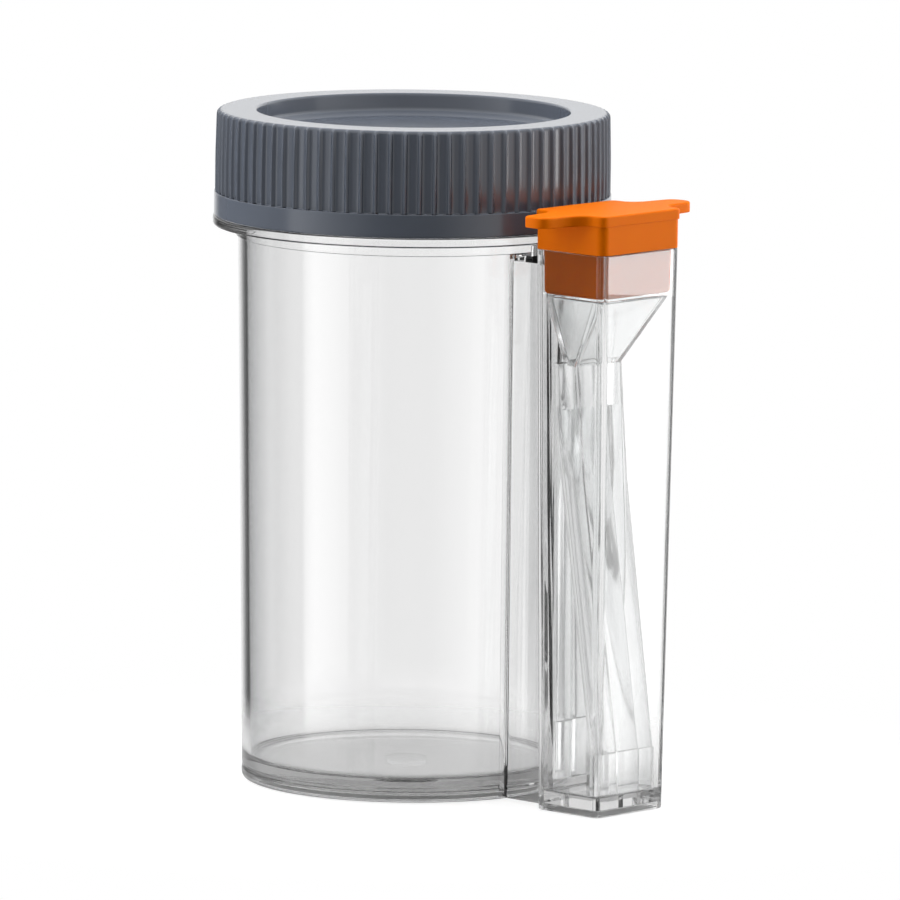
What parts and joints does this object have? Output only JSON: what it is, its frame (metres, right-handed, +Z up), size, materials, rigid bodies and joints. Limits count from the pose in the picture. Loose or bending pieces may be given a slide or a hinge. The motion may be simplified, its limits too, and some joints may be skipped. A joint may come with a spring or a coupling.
{
  "type": "specimen container",
  "caption": "Clear round specimen jar with a ribbed grey screw cap and a rectangular side tube that holds a two-legged funnel insert under an orange push-in stopper.",
  "frame": {"origin": "centre of the jar's base, on the jar's axis and on the surface it stands on", "axes": "+Z up along the jar's axis, +X from the jar towards the side tube, +Y along the stopper's ears"},
  "size_m": [0.0898, 0.0704, 0.1188],
  "materials": {
    "clear_body": "clear polystyrene, polished mould",
    "screw_cap": "grey-blue polypropylene, satin",
    "sealing_ring": "off-white foamed polyethylene",
    "tube_stopper": "orange low-density polyethylene, satin",
    "tube_insert": "clear polystyrene, slightly milky"
  },
  "bodies": {
    "jar": {"clear_body": "clear_body", "tube_insert": "tube_insert"},
    "seal": {"sealing_ring": "sealing_ring"},
    "cap": {"screw_cap": "screw_cap"},
    "stopper": {"tube_stopper": "tube_stopper"}
  },
  "joints": [
    {"name": "cap_lift", "type": "slide", "parent": "jar", "child": "seal", "axis": [0, 0, 1], "range_m": [0, 0.006]},
    {"name": "cap_turn", "type": "hinge", "parent": "seal", "child": "cap", "pos_m": [0, 0, 0.11], "axis": [0, 0, 1], "range_deg": [0, 540]},
    {"name": "stopper_pull", "type": "slide", "parent": "jar", "child": "stopper", "axis": [0, 0, 1], "range_m": [0, 0.012]}
  ],
  "couplings": [
    {"joint": "cap_lift", "follows": "cap_turn", "m_per_rad": 0.00063661}
  ]
}
